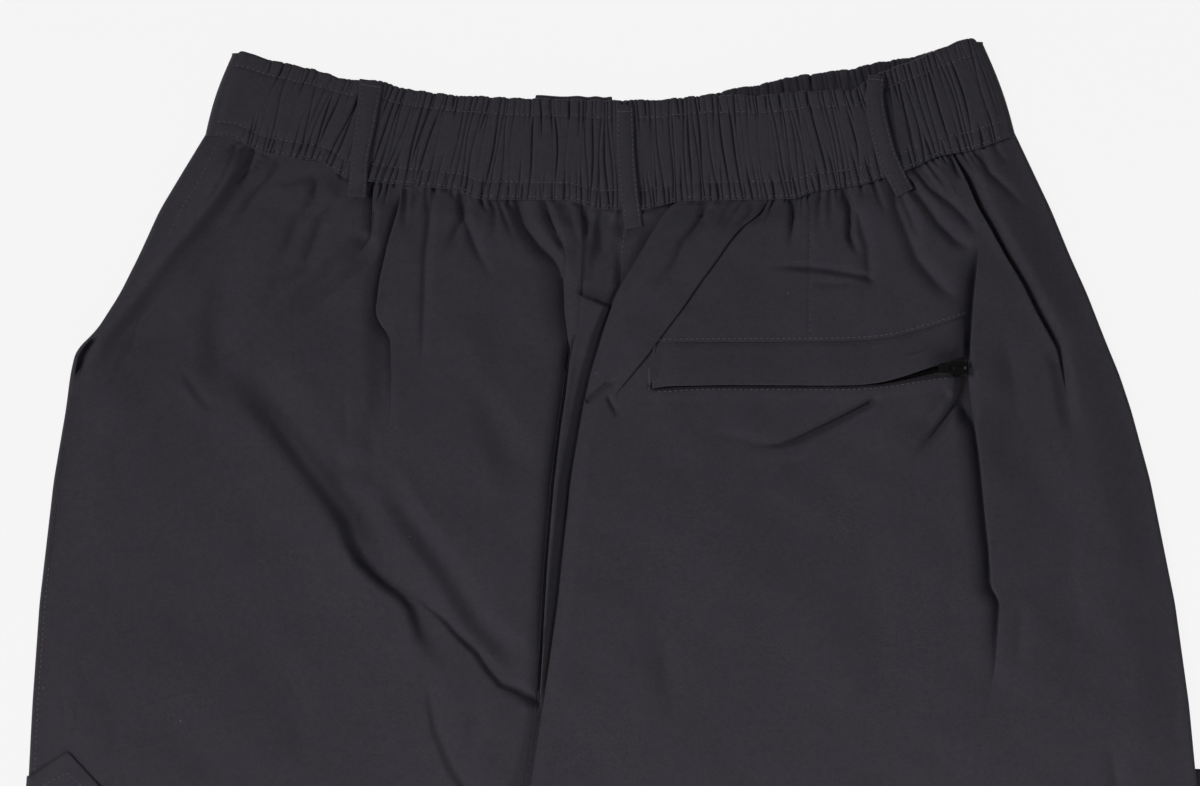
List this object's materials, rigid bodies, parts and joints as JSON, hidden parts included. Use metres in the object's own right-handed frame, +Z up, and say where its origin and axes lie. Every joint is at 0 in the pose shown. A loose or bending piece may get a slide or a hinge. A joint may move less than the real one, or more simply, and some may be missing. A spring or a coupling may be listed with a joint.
{
  "type": "cargo trousers, laid flat",
  "caption": "Elastic-waist cargo trousers lying flat, back side up, with belt loops, a zipped welt back pocket and flapped thigh pockets.",
  "frame": {"origin": "on the resting surface, under the middle of the garment's box", "axes": "+X to the right as the back is seen, +Y towards the waistband, +Z up, out of the garment's back"},
  "size_m": [0.6038, 1.02, 0.0155],
  "materials": {
    "cloth": "matt dark charcoal plain weave with a faint sheen",
    "zip_tape": "black woven tape",
    "zip_metal": "glossy black enamel"
  },
  "bodies": {
    "trousers": {"back_panel_left": "cloth", "back_panel_right": "cloth", "front_panel_left": "cloth", "front_panel_right": "cloth", "waistband_back": "cloth", "waistband_front": "cloth", "belt_loop_left": "cloth", "belt_loop_centre": "cloth", "belt_loop_right": "cloth", "pocket_welt": "cloth", "cargo_pocket_left": "cloth", "cargo_pocket_right": "cloth", "cargo_flap_left": "cloth", "cargo_flap_right": "cloth", "zip_tape": "zip_tape", "zip_slider": "zip_metal"},
    "pull_tab": {"zip_pull": "zip_metal"}
  },
  "joints": [
    {"name": "pull_tab_swing", "type": "hinge", "parent": "trousers", "child": "pull_tab", "pos_m": [0.17306, 0.34596, 0.01349], "axis": [0, 1, 0], "range_deg": [0, 145]}
  ]
}
